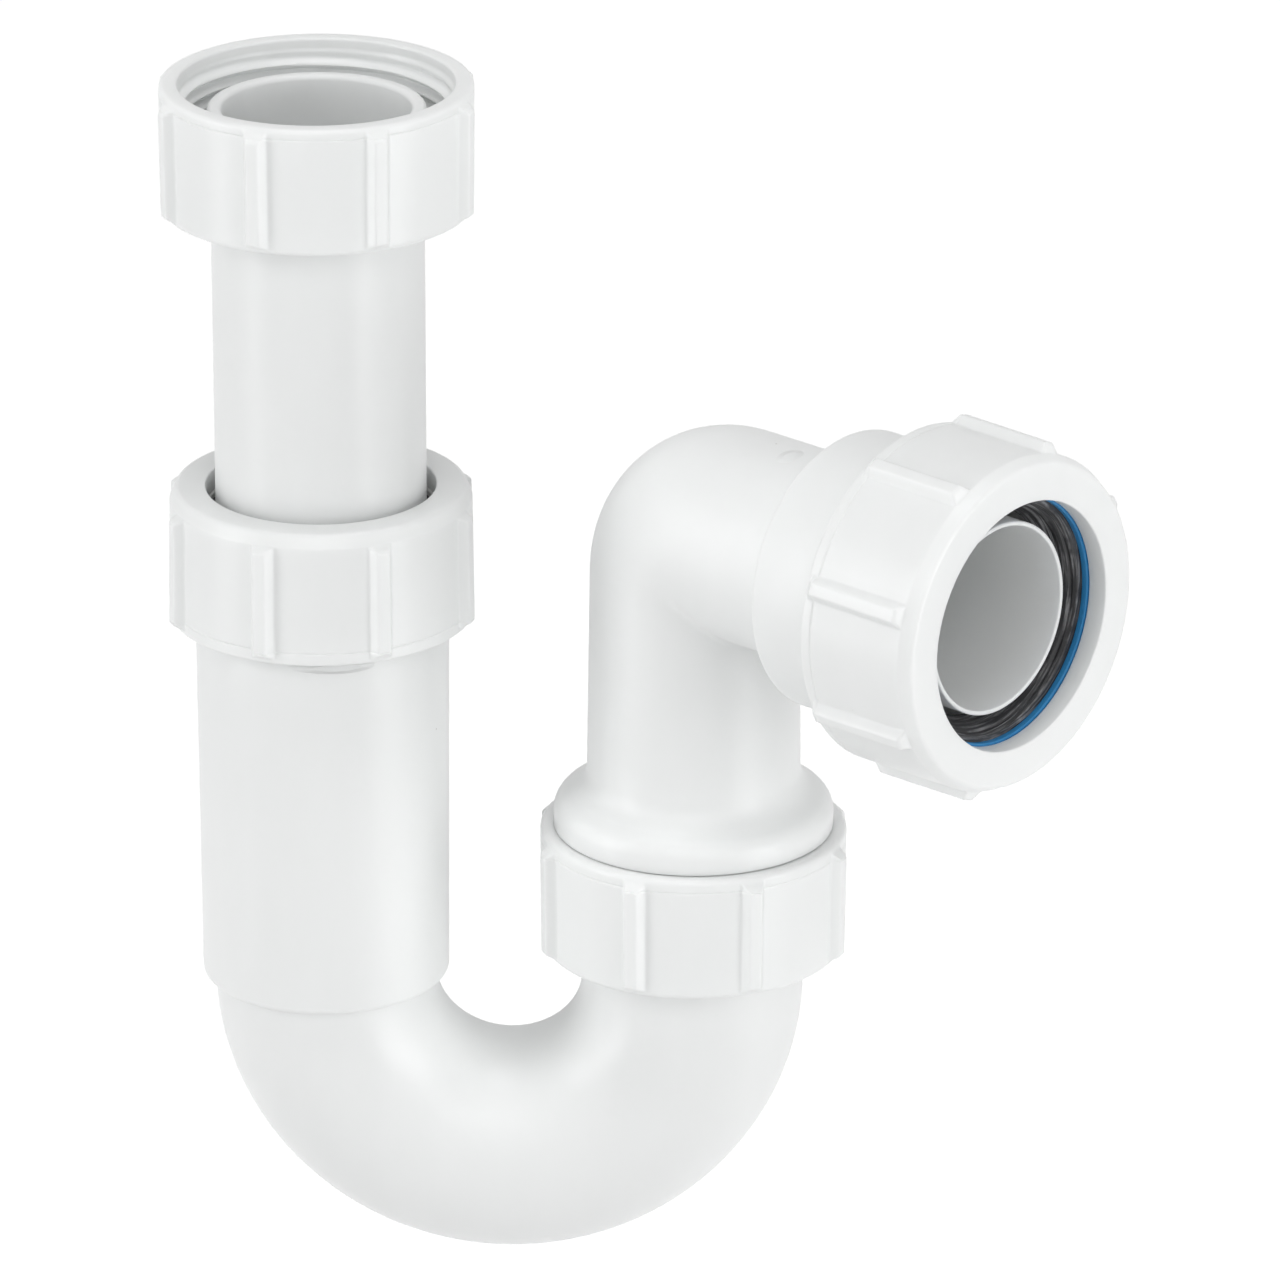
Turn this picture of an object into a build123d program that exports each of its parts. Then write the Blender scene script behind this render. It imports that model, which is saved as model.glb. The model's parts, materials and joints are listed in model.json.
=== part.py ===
from build123d import *

import os

# Tubular swivel P-trap for a 43 mm waste pipe, in millimetres, +Z up.
# The origin is on the inlet axis, at the washer face that the sink waste screws down to.
# The U-bend lies in the XZ plane, and the outlet arm is swivelled about the second leg.

# Screw threads, 11 to the inch. Each wall here is plain: a male one at its thread's root,
# a nut's bore just outside the crest. A socket's thread is sized by the wall under it.
THREAD_PITCH = 25.4 / 11
THREAD_DEPTH = 0.64 * THREAD_PITCH
THREAD_GAP = 0.25
THREADED_WALL = 3.3
OUTLET_THREADED_WALL = 3.7

# Clearances between pieces
FACE_GAP = 0.1
SLIDE_GAP = 0.1
LOOSE_GAP = 0.35
SWIVEL_GAP = 0.4
WASHER_GAP = 0.9
PIPE_GAP = 0.4

# Tubes and waterways
INLET_BORE_R = 16.5
INLET_TUBE_WALL = 2.15
SPIGOT_WALL = 2.6
BEND_WALL = 2.4
BEND_R = 33.0
ELBOW_BORE_R = 16.4
ELBOW_WALL = 2.2
ELBOW_FOOT_WALL = 2.7
ELBOW_R = 10.0

# Inlet tube and its collar, with its length counted down from the washer face
SPIGOT_HEIGHT = 8.1
COLLAR_THICK = 3.3
COLLAR_GAP = 0.2
COLLAR_STEP = 2.3
INLET_TUBE_LENGTH = 127.5

# Trap body
SOCKET_NUT_DROP = 61.8
SOCKET_DEPTH = 83.7
SOCKET_WALL = 3.4
SOCKET_DRAFT = 0.35
SOCKET_THREAD = 17.2
SOCKET_LEDGE = 1.5
SOCKET_FOOT_R = 1.3
SECOND_LEG_RISE = 14.3

# Swivelling elbow
ARM_RISE = 70.5
ARM_LENGTH = 75.6
ARM_SWIVEL = -41.0
FLANGE_REACH = 2.6
FLANGE_EDGE = 4.5
FLANGE_SLOPE = 3.3
FLANGE_NECK_R = 5.0
FLANGE_CROWN_R = 3.5
FLANGE_LIP_R = 1.2

# Outlet socket, with the thin tube inside it that the waste pipe pushes over
PIPE_R = 21.5
PIPE_DEPTH = 21.0
PIPE_STOP_WALL = 0.8
PIPE_STOP_PROUD = 2.6
OUTLET_COLLAR_STEP = 0.6
OUTLET_COLLAR_LENGTH = 14.0
OUTLET_FLOOR = 7.0

# Nuts and their grip lugs
NUT_WALL = 3.25
NUT_DRAFT = 0.25
UNION_NUT_LENGTH = 22.8
UNION_LIP = 4.4
PRESS_NUT_WALL = 2.85
PRESS_NUT_LENGTH = 24.1
PRESS_LIP = 3.9
PRESS_CHAMFER = 2.4
INLET_NUT_HOLE_GAP = 1.6
INLET_SIDE_HOLE_GAP = 1.7
PIPE_HOLE_GAP = 0.7
NUT_EDGE_R = 0.9
LUG_COUNT = 8
LUG_HEIGHT = 2.1
LUG_WIDTH = 4.6
LUG_CREST = 1.2
LUG_ROOT = 1.0
LUG_END = 0.9

# How far each nut is turned, from a lug pair set evenly about its frame's axes, in degrees
INLET_NUT_TURN = 3.5
SOCKET_NUT_TURN = 3.5
SWIVEL_NUT_TURN = 1.3
OUTLET_NUT_TURN = 4.5

# Washers and seals
FLAT_WASHER = 2.5
SLIP_WASHER = 1.2
SLIP_WASHER_REVEAL = 0.4
SEAT_DEPTH = 4.2
SEAT_LAND = 1.1
SEAL_FLANGE = 2.8
SEAL_WEDGE = 2.8
SEAL_GROOVES = 3
SEAL_GROOVE_DEPTH = 0.3
PIPE_SQUEEZE = 0.8

# Radii worked out from the sizes above
inlet_tube_r = INLET_BORE_R + INLET_TUBE_WALL
spigot_r = INLET_BORE_R + SPIGOT_WALL
socket_bore_r = inlet_tube_r + LOOSE_GAP + SLIDE_GAP
socket_r = socket_bore_r + SOCKET_WALL
body_root_r = socket_bore_r + THREADED_WALL
body_nut_bore_r = body_root_r + THREAD_DEPTH + THREAD_GAP
collar_r = body_root_r - COLLAR_GAP
bend_tube_r = collar_r - COLLAR_STEP
bend_bore_r = bend_tube_r - BEND_WALL
elbow_r = ELBOW_BORE_R + ELBOW_WALL
elbow_foot_r = ELBOW_BORE_R + ELBOW_FOOT_WALL
flange_r = body_root_r + FLANGE_REACH
pipe_socket_r = PIPE_R + PIPE_GAP
outlet_root_r = pipe_socket_r + OUTLET_THREADED_WALL
outlet_nut_bore_r = outlet_root_r + THREAD_DEPTH + THREAD_GAP
outlet_collar_r = outlet_root_r - OUTLET_COLLAR_STEP

# Heights on the inlet axis
inlet_collar_bottom = -FLAT_WASHER - COLLAR_THICK
inlet_nut_foot = inlet_collar_bottom - FACE_GAP - UNION_LIP
slip_washer_top = -SOCKET_NUT_DROP - PRESS_LIP - FACE_GAP
socket_mouth = slip_washer_top - SLIP_WASHER - SEAL_FLANGE
socket_floor = socket_mouth - SOCKET_DEPTH
bend_z = socket_floor - SOCKET_LEDGE

# Heights on the second leg
leg_x = 2 * BEND_R
leg_top = bend_z + SECOND_LEG_RISE
swivel_nut_foot = leg_top - COLLAR_THICK - FACE_GAP - UNION_LIP
elbow_foot = leg_top + FLAT_WASHER + FACE_GAP
flange_foot = swivel_nut_foot + UNION_NUT_LENGTH + SWIVEL_GAP
arm_z = elbow_foot + ARM_RISE

# Distances out along the arm
outlet_washer_face = ARM_LENGTH - PRESS_LIP - FACE_GAP
outlet_mouth = outlet_washer_face - SLIP_WASHER - SEAL_FLANGE
pipe_stop = outlet_mouth - SEAT_DEPTH - PIPE_DEPTH
outlet_collar_start = pipe_stop - OUTLET_FLOOR

# Frames of the elbow, with +X along its arm, and of the outlet, with +Z along it
elbow_frame = Pos(leg_x, 0, arm_z) * Rot(Z=ARM_SWIVEL)
outlet_frame = elbow_frame * Rot(Y=90)


def turned(corners, radii=None):
    """A solid of revolution about Z from (radius, height) corners, with a rounding for each."""
    rounding = radii if radii else [0] * len(corners)
    outline = FilletPolyline(*corners, radius=rounding, close=True)
    return revolve(Plane.XZ * make_face(outline), Axis.Z)


def rod(radius, bottom, top):
    """A plain round bar on the Z axis."""
    return Pos(0, 0, bottom) * extrude(Circle(radius), top - bottom)


def flat_ring(inner_r, outer_r, bottom, top):
    """A plain ring on the Z axis."""
    return turned([(inner_r, bottom), (outer_r, bottom), (outer_r, top), (inner_r, top)])


def right_bend(radius, bend_r, arm_end):
    """A bar that turns from the Z axis to run along X, less its straight riser."""
    start = Plane((0, 0, -bend_r))
    half = Pos((bend_r - radius) / 2, 0) * Rectangle(bend_r + radius, 2 * radius)
    section = start * (Circle(radius) & half)
    turn = revolve(section, Axis((bend_r, 0, -bend_r), (0, 1, 0)), 90)
    arm = Plane((bend_r, 0, 0), z_dir=(1, 0, 0)) * extrude(Circle(radius), arm_end - bend_r)
    return turn + arm


def half_bend(radius):
    """The bar of the U-bend, down from the first leg and up to the second."""
    section = Plane((0, 0, bend_z)) * Circle(radius)
    return revolve(section, Axis((BEND_R, 0, bend_z), (0, -1, 0)), 180)


def grip_lugs(radius, bottom, top):
    """Hip-ended bars round a nut, half a pitch off the X axis."""
    middle = (bottom + top) / 2
    length = top - bottom
    hip = LUG_WIDTH - LUG_CREST
    root = Plane((radius - LUG_ROOT, 0, middle), x_dir=(0, 1, 0), z_dir=(1, 0, 0))
    wall = root.offset(LUG_ROOT)
    crest = wall.offset(LUG_HEIGHT)
    foot = root * extrude(Rectangle(LUG_WIDTH, length), LUG_ROOT)
    ridge = loft([wall * Rectangle(LUG_WIDTH, length), crest * Rectangle(LUG_CREST, length - hip)])
    step = 360 / LUG_COUNT
    return [Rot(Z=step * (i + 0.5)) * (foot + ridge) for i in range(LUG_COUNT)]


def union_nut(hole_r):
    """A nut open at the top, whose inturned foot catches the collar of the tube in it."""
    pocket_r = collar_r + LOOSE_GAP
    thread_foot = UNION_LIP + FACE_GAP + COLLAR_THICK + FLAT_WASHER - THREAD_PITCH / 4
    outer_r = body_nut_bore_r + NUT_WALL
    foot_r = outer_r - NUT_DRAFT
    corners = [
        (hole_r, 0),
        (foot_r, 0),
        (outer_r, UNION_NUT_LENGTH),
        (body_nut_bore_r, UNION_NUT_LENGTH),
        (body_nut_bore_r, thread_foot),
        (pocket_r, thread_foot),
        (pocket_r, UNION_LIP),
        (hole_r, UNION_LIP),
    ]
    shell = turned(corners, [0, NUT_EDGE_R, NUT_EDGE_R, NUT_EDGE_R / 2, 0, 0, 0, 0])
    return shell.fuse(*grip_lugs(foot_r, LUG_END, UNION_NUT_LENGTH - LUG_END))


def press_nut(bore_r, hole_r):
    """A nut open at the bottom, whose inturned face presses a slip washer on a seal."""
    outer_r = bore_r + PRESS_NUT_WALL
    shoulder_r = outer_r - NUT_DRAFT
    face_r = shoulder_r - PRESS_CHAMFER / 2
    corners = [
        (hole_r, 0),
        (face_r, 0),
        (shoulder_r, -PRESS_CHAMFER),
        (outer_r, -PRESS_NUT_LENGTH),
        (bore_r, -PRESS_NUT_LENGTH),
        (bore_r, -PRESS_LIP),
        (hole_r, -PRESS_LIP),
    ]
    edges = [NUT_EDGE_R / 3, NUT_EDGE_R, NUT_EDGE_R, NUT_EDGE_R / 2, NUT_EDGE_R / 2, 0, 0]
    lugs = grip_lugs(shoulder_r, LUG_END - PRESS_NUT_LENGTH, -PRESS_CHAMFER)
    return turned(corners, edges).fuse(*lugs)


def wedge_seal(inner_r, root_r, socket_bore):
    """A flanged rubber ring with a grooved bore, whose wedge sits in a socket's mouth at zero."""
    seat_r = root_r - SEAT_LAND
    tip_r = seat_r - (seat_r - socket_bore) * SEAL_WEDGE / SEAT_DEPTH
    step = (SEAL_FLANGE + SEAL_WEDGE) / (2 * SEAL_GROOVES + 1)
    bore = [(inner_r, SEAL_FLANGE)]
    for i in range(SEAL_GROOVES):
        groove_top = SEAL_FLANGE - (2 * i + 1) * step
        bore.append((inner_r, groove_top))
        bore.append((inner_r + SEAL_GROOVE_DEPTH, groove_top - step / 2))
        bore.append((inner_r, groove_top - step))
    bore.append((inner_r, -SEAL_WEDGE))
    outside = [
        (tip_r - FACE_GAP, -SEAL_WEDGE),
        (seat_r - FACE_GAP, FACE_GAP / 2),
        (root_r, FACE_GAP / 2),
        (root_r, SEAL_FLANGE),
    ]
    return turned(bore + outside)


def socket_seat(root_r, bore_r, mouth):
    """The tapered seat for a wedge seal, as a solid to cut from a socket's mouth."""
    seat_r = root_r - SEAT_LAND
    corners = [(0, mouth - SEAT_DEPTH), (bore_r, mouth - SEAT_DEPTH), (seat_r, mouth), (0, mouth)]
    return turned(corners)


def inlet_tube():
    """The telescopic tube, with its spigot and the collar that the inlet nut catches."""
    corners = [
        (INLET_BORE_R, -INLET_TUBE_LENGTH),
        (inlet_tube_r, -INLET_TUBE_LENGTH),
        (inlet_tube_r, inlet_collar_bottom),
        (collar_r, inlet_collar_bottom),
        (collar_r, -FLAT_WASHER),
        (spigot_r, -FLAT_WASHER),
        (spigot_r, SPIGOT_HEIGHT),
        (INLET_BORE_R, SPIGOT_HEIGHT),
    ]
    rim = SPIGOT_WALL / 3
    return turned(corners, [0, rim, rim, 0, 0, 0, rim, rim])


def trap_body():
    """The socket leg, the U-bend and the collared second leg, moulded in one."""
    thread_end = socket_mouth - SOCKET_THREAD
    leg = turned(
        [
            (0, bend_z),
            (socket_r - SOCKET_DRAFT, bend_z),
            (socket_r, thread_end),
            (body_root_r, thread_end),
            (body_root_r, socket_mouth),
            (0, socket_mouth),
        ],
        [0, SOCKET_FOOT_R, 0, 0, 0, 0],
    )
    second = Pos(leg_x, 0) * rod(bend_tube_r, bend_z, leg_top)
    collar = Pos(leg_x, 0) * rod(collar_r, leg_top - COLLAR_THICK, leg_top)
    outside = leg + half_bend(bend_tube_r) + second + collar
    bore = rod(socket_bore_r, socket_floor, socket_mouth)
    bore += socket_seat(body_root_r, socket_bore_r, socket_mouth)
    bore += rod(bend_bore_r, bend_z, socket_floor)
    bore += half_bend(bend_bore_r)
    bore += Pos(leg_x, 0) * rod(bend_bore_r, bend_z, leg_top)
    return outside - bore


def elbow_foot_form():
    """The elbow's threaded foot, its domed flange and the tapered tube above, as one bar."""
    foot = elbow_foot - arm_z
    flange = flange_foot - arm_z
    corners = [
        (0, foot),
        (body_root_r, foot),
        (body_root_r, flange),
        (flange_r, flange),
        (flange_r, flange + FLANGE_EDGE),
        (elbow_foot_r, flange + FLANGE_EDGE + FLANGE_SLOPE),
        (elbow_r, -ELBOW_R),
        (0, -ELBOW_R),
    ]
    return turned(corners, [0, 0, 0, FLANGE_LIP_R, FLANGE_CROWN_R, FLANGE_NECK_R, 0, 0])


def outlet_socket_form():
    """The collar and threaded socket on the end of the arm, as one bar along Z."""
    thread_start = outlet_collar_start + OUTLET_COLLAR_LENGTH
    corners = [
        (0, outlet_collar_start),
        (outlet_collar_r, outlet_collar_start),
        (outlet_collar_r, thread_start),
        (outlet_root_r, thread_start),
        (outlet_root_r, outlet_mouth),
        (0, outlet_mouth),
    ]
    return turned(corners, [0, NUT_EDGE_R, 0, 0, 0, 0])


def outlet_elbow():
    """The swivelling elbow, from its threaded foot to the socket for the waste pipe."""
    pipe_stop_r = ELBOW_BORE_R + PIPE_STOP_WALL
    outside = elbow_foot_form() + right_bend(elbow_r, ELBOW_R, outlet_collar_start)
    outside += Rot(Y=90) * outlet_socket_form()
    pocket = flat_ring(0, pipe_socket_r, pipe_stop, outlet_mouth)
    pocket += socket_seat(outlet_root_r, pipe_socket_r, outlet_mouth)
    outside -= Rot(Y=90) * pocket
    stop_tube = rod(pipe_stop_r, pipe_stop, outlet_mouth + PIPE_STOP_PROUD)
    outside += Rot(Y=90) * stop_tube
    riser = rod(ELBOW_BORE_R, elbow_foot - arm_z, -ELBOW_R)
    bore = riser + right_bend(ELBOW_BORE_R, ELBOW_R, outlet_mouth + PIPE_STOP_PROUD)
    return outside - bore


def build():
    """Every piece in its place, by name."""
    socket_hole_r = inlet_tube_r + INLET_SIDE_HOLE_GAP
    outlet_hole_r = PIPE_R + PIPE_HOLE_GAP
    socket_nut = press_nut(body_nut_bore_r, socket_hole_r)
    outlet_nut = press_nut(outlet_nut_bore_r, outlet_hole_r)
    inlet_nut = union_nut(inlet_tube_r + INLET_NUT_HOLE_GAP)
    swivel_nut = union_nut(bend_tube_r + LOOSE_GAP)
    lower_union = Pos(leg_x, 0, swivel_nut_foot)
    outlet_face = outlet_frame * Pos(0, 0, ARM_LENGTH)
    slip = SLIP_WASHER
    reveal = SLIP_WASHER_REVEAL
    socket_slip = flat_ring(socket_hole_r - reveal, body_root_r, -slip, 0)
    outlet_slip = flat_ring(outlet_hole_r - reveal, outlet_root_r, -slip, 0)
    socket_seal = wedge_seal(inlet_tube_r + SLIDE_GAP, body_root_r, socket_bore_r)
    outlet_seal = wedge_seal(PIPE_R - PIPE_SQUEEZE, outlet_root_r, pipe_socket_r)
    swivel_washer = flat_ring(bend_bore_r + SLIDE_GAP, collar_r, 0, FLAT_WASHER)
    return {
        "inlet_nut": Pos(0, 0, inlet_nut_foot) * Rot(Z=INLET_NUT_TURN) * inlet_nut,
        "inlet_washer": flat_ring(spigot_r + WASHER_GAP, collar_r, -FLAT_WASHER, 0),
        "inlet_tube": inlet_tube(),
        "socket_nut": Pos(0, 0, -SOCKET_NUT_DROP) * Rot(Z=SOCKET_NUT_TURN) * socket_nut,
        "socket_slip_washer": Pos(0, 0, slip_washer_top) * socket_slip,
        "socket_seal": Pos(0, 0, socket_mouth) * socket_seal,
        "trap_body": trap_body(),
        "swivel_nut": lower_union * Rot(Z=SWIVEL_NUT_TURN) * swivel_nut,
        "swivel_washer": Pos(leg_x, 0, leg_top) * swivel_washer,
        "outlet_elbow": elbow_frame * outlet_elbow(),
        "outlet_nut": outlet_face * Rot(Z=OUTLET_NUT_TURN) * outlet_nut,
        "outlet_slip_washer": outlet_frame * Pos(0, 0, outlet_washer_face) * outlet_slip,
        "outlet_seal": outlet_frame * Pos(0, 0, outlet_mouth) * outlet_seal,
    }


os.makedirs("parts", exist_ok=True)
for name, piece in build().items():
    export_step(piece, f"parts/{name}.step")
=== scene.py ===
"""The looks of a white tubular swivel trap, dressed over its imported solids.

Lengths are in millimetres, and a piece is scaled to metres when its mesh is finished.
"""

import json
import logging
import math
from dataclasses import dataclass, replace
from enum import Enum
from typing import Any, Callable, Mapping, Optional, Sequence, Union

import bmesh
import bpy
from mathutils import Matrix, Vector


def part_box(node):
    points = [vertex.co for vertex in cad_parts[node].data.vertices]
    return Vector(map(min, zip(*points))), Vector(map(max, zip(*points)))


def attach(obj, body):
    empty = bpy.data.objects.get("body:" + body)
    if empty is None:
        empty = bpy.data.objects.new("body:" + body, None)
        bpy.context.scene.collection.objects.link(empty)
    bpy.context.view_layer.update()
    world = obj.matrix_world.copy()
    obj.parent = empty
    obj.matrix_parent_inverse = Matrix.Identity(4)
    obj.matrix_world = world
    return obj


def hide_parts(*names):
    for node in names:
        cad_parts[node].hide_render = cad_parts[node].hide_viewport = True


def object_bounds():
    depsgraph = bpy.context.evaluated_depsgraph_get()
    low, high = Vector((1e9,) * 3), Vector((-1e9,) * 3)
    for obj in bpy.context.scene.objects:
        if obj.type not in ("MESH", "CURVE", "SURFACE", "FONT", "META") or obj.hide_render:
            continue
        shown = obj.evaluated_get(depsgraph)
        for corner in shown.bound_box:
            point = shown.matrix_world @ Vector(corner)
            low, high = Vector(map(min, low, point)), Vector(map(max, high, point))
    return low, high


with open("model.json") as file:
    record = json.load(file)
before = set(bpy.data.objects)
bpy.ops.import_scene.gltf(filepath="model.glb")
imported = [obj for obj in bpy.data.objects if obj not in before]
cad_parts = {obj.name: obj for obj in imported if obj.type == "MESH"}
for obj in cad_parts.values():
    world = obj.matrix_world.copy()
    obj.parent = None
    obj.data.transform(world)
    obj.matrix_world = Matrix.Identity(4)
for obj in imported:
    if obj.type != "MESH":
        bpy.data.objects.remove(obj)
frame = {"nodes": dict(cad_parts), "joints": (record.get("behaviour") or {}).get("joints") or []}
cad_low, cad_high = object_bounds()
log = logging.getLogger("trap")

MM = 0.001
THREAD_PITCH = 25.4 / 11
THREAD_DEPTH = 0.64 * THREAD_PITCH
SOFT_EDGE = 0.25
STEP_EDGE = 0.04
SHARP = 0.0
ROUND_STEPS = 5
TUBE_COLUMNS = 192
NUT_COLUMNS = 480
FINE_ROW = 0.3
NUT_ROW = 2.0
WASHER_ROW = 3.0
TUBE_ROW = 6.0
CREASE_ANGLE = math.radians(50)
MERGE = 0.004
NOISE_FALL = 0.55
SEAT_DEPTH = 4.2
SEAT_LAND = 1.1
COLLAR_R = 22.2
COLLAR_THICK = 3.3

Triple = tuple[float, float, float]
Colour = tuple[float, float, float, float]
Profile = Callable[[float, float, float], Triple]
Row = Callable[[float, float], float]


def soft_min(a: float, b: float, blend: float) -> float:
    """The lower of two numbers, with the corner between them rounded within the blend."""
    near = max(blend - abs(a - b), 0.0) / blend
    return min(a, b) - near * near * blend / 4


def soft_max(a: float, b: float, blend: float) -> float:
    """The higher of two numbers, with the corner between them rounded."""
    return -soft_min(-a, -b, blend)


def soft_step(x: float, blend: float = 0.3) -> float:
    """A ramp from 0 to 1 with rounded ends, for a flank between a wall and a crest."""
    return soft_max(0.0, soft_min(1.0, x, blend), blend)


@dataclass(frozen=True)
class Corner:
    """A corner of a turned outline: its radius, its height and its rounding."""

    r: float
    z: float
    rounding: float = SOFT_EDGE


@dataclass(frozen=True)
class Axle:
    """A line that turned pieces are made about, as the matrix that lays the Z axis on it."""

    place: Matrix

    def span(self, node: str) -> tuple[float, float]:
        """How far a solid reaches along the line.

        Args:
            node: The solid's name in the frame.

        Returns:
            Its lowest and highest point, measured from the line's own zero.
        """
        back = self.place.inverted()
        heights = [(back @ (vertex.co / MM)).z for vertex in frame["nodes"][node].data.vertices]
        return min(heights), max(heights)


def second_leg_axle() -> Axle:
    """The line of the second leg, through the middle of its flat washer."""
    low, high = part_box("swivel_washer")
    middle = (low + high) / 2 / MM
    return Axle(Matrix.Translation((middle.x, middle.y, 0.0)))


def outlet_axle() -> Axle:
    """The line of the outlet arm, whose zero is on the second leg's axis."""
    turn = next(joint for joint in frame["joints"] if joint["name"] == "outlet_nut_turn")
    leg = LEG_AXLE.place.to_translation()
    height = turn["pos_m"][2] / MM
    azimuth = math.atan2(turn["axis"][1], turn["axis"][0])
    turned = Matrix.Rotation(azimuth, 4, "Z") @ Matrix.Rotation(math.pi / 2, 4, "Y")
    return Axle(Matrix.Translation((leg.x, leg.y, height)) @ turned)


INLET_AXLE = Axle(Matrix.Identity(4))
LEG_AXLE = second_leg_axle()
ARM_AXLE = outlet_axle()


def new_object(name: str, data: Any) -> bpy.types.Object:
    """An object with that mesh, lamp or lens, linked into the scene."""
    made = bpy.data.objects.new(name, data)
    bpy.context.scene.collection.objects.link(made)
    return made


class Shell:
    """A closed skin that grows from outlines and rings of edges."""

    def __init__(self) -> None:
        """Starts an empty skin."""
        self.bm = bmesh.new()

    def outline(self, corners: Sequence[Corner], closed: bool, row: Row) -> None:
        """Draws an outline in the XZ plane, rounds its corners and divides its long runs.

        Args:
            corners: The corners in order.
            closed: Whether the last corner joins the first.
            row: The longest run allowed at a radius and height.
        """
        bm = self.bm
        count = len(corners)
        points = [bm.verts.new((corner.r, 0.0, corner.z)) for corner in corners]
        for i in range(count if closed else count - 1):
            bm.edges.new((points[i], points[(i + 1) % count]))
        for i, corner in enumerate(corners):
            if corner.rounding > 0:
                self._round(points[i], corner, corners[i - 1], corners[(i + 1) % count])
        for edge in bm.edges[:]:
            middle = (edge.verts[0].co + edge.verts[1].co) / 2
            cuts = math.ceil(edge.calc_length() / row(middle.x, middle.z)) - 1
            if cuts > 0:
                bmesh.ops.subdivide_edges(bm, edges=[edge], cuts=cuts)

    def _round(self, point: Any, corner: Corner, before: Corner, after: Corner) -> None:
        """Rounds one corner of an outline.

        Args:
            point: The corner's vertex.
            corner: The corner itself.
            before: The corner before it.
            after: The corner after it.
        """
        back = Vector((before.r - corner.r, before.z - corner.z))
        ahead = Vector((after.r - corner.r, after.z - corner.z))
        tangent = corner.rounding / math.tan(back.angle(ahead) / 2)
        shape = {"segments": ROUND_STEPS, "profile": 0.5, "affect": "VERTICES"}
        bmesh.ops.bevel(self.bm, geom=[point], offset=tangent, **shape)

    def spin(self, centre: Triple, axis: Triple, angle: float, steps: int) -> None:
        """Swings the skin round an axis, with faces drawn behind it."""
        geom = self.bm.verts[:] + self.bm.edges[:]
        bmesh.ops.spin(self.bm, geom=geom, cent=centre, axis=axis, angle=angle, steps=steps)

    def turn(self, columns: int) -> None:
        """Spins the outline once round the Z axis.

        An eighth is spun and doubled three times, which is far quicker than one full spin.

        Args:
            columns: The steps in a full turn, a multiple of eight.
        """
        bm = self.bm
        self.spin((0, 0, 0), (0, 0, 1), math.pi / 4, columns // 8)
        for angle in (math.pi / 4, math.pi / 2, math.pi):
            copy = bmesh.ops.duplicate(bm, geom=bm.verts[:] + bm.edges[:] + bm.faces[:])["geom"]
            fresh = [item for item in copy if isinstance(item, bmesh.types.BMVert)]
            bmesh.ops.rotate(bm, cent=(0, 0, 0), matrix=Matrix.Rotation(angle, 3, "Z"), verts=fresh)
            bmesh.ops.remove_doubles(bm, verts=bm.verts[:], dist=MERGE)

    def add(self, part: "Shell", place: Matrix = Matrix.Identity(4)) -> None:
        """Takes another skin into this one.

        Args:
            part: The other skin, which is used up.
            place: Where it goes.
        """
        bmesh.ops.transform(part.bm, matrix=place, verts=part.bm.verts[:])
        mesh = bpy.data.meshes.new("part")
        part.bm.to_mesh(mesh)
        part.bm.free()
        self.bm.from_mesh(mesh)
        bpy.data.meshes.remove(mesh)

    def reshape(self, profile: Profile) -> None:
        """Moves each vertex.

        Args:
            profile: The rule, which takes and gives a radius, an angle and a height about Z.
        """
        for vertex in self.bm.verts:
            r = math.hypot(vertex.co.x, vertex.co.y)
            angle = math.atan2(vertex.co.y, vertex.co.x)
            r, angle, z = profile(r, angle, vertex.co.z)
            vertex.co = (r * math.cos(angle), r * math.sin(angle), z)

    def piece(self, name: str, place: Matrix) -> bpy.types.Object:
        """Merges the parts where they meet and makes the finished object, in metres.

        Args:
            name: The object's name.
            place: Where the skin goes, in millimetres.

        Returns:
            The new object.
        """
        bm = self.bm
        bmesh.ops.remove_doubles(bm, verts=bm.verts[:], dist=MERGE)
        bmesh.ops.recalc_face_normals(bm, faces=bm.faces[:])
        bmesh.ops.transform(bm, matrix=Matrix.Scale(MM, 4) @ place, verts=bm.verts[:])
        mesh = bpy.data.meshes.new(name)
        bm.to_mesh(mesh)
        bm.free()
        mesh.polygons.foreach_set("use_smooth", [True] * len(mesh.polygons))
        mesh.set_sharp_from_angle(angle=CREASE_ANGLE)
        return new_object(name, mesh)


class Signal:
    """A shader value on which sums are written as in Python."""

    def __init__(self, bench: "Bench", socket: bpy.types.NodeSocket) -> None:
        """Wraps an output socket."""
        self.bench = bench
        self.socket = socket

    def _sum(self, operation: str, first: Any, second: Any) -> "Signal":
        """Adds a Math node on two values."""
        return self.bench.node("ShaderNodeMath", {"operation": operation}, {0: first, 1: second})

    def __add__(self, other: Any) -> "Signal":
        """self + other"""
        return self._sum("ADD", self, other)

    __radd__ = __add__

    def __sub__(self, other: Any) -> "Signal":
        """self - other"""
        return self._sum("SUBTRACT", self, other)

    def __rsub__(self, other: Any) -> "Signal":
        """other - self"""
        return self._sum("SUBTRACT", other, self)

    def __mul__(self, other: Any) -> "Signal":
        """self * other"""
        return self._sum("MULTIPLY", self, other)

    __rmul__ = __mul__

    def __gt__(self, other: Any) -> "Signal":
        """1 where self is above other, and 0 elsewhere"""
        return self._sum("GREATER_THAN", self, other)

    def most(self, other: Any) -> "Signal":
        """The higher of the two values."""
        return self._sum("MAXIMUM", self, other)


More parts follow.
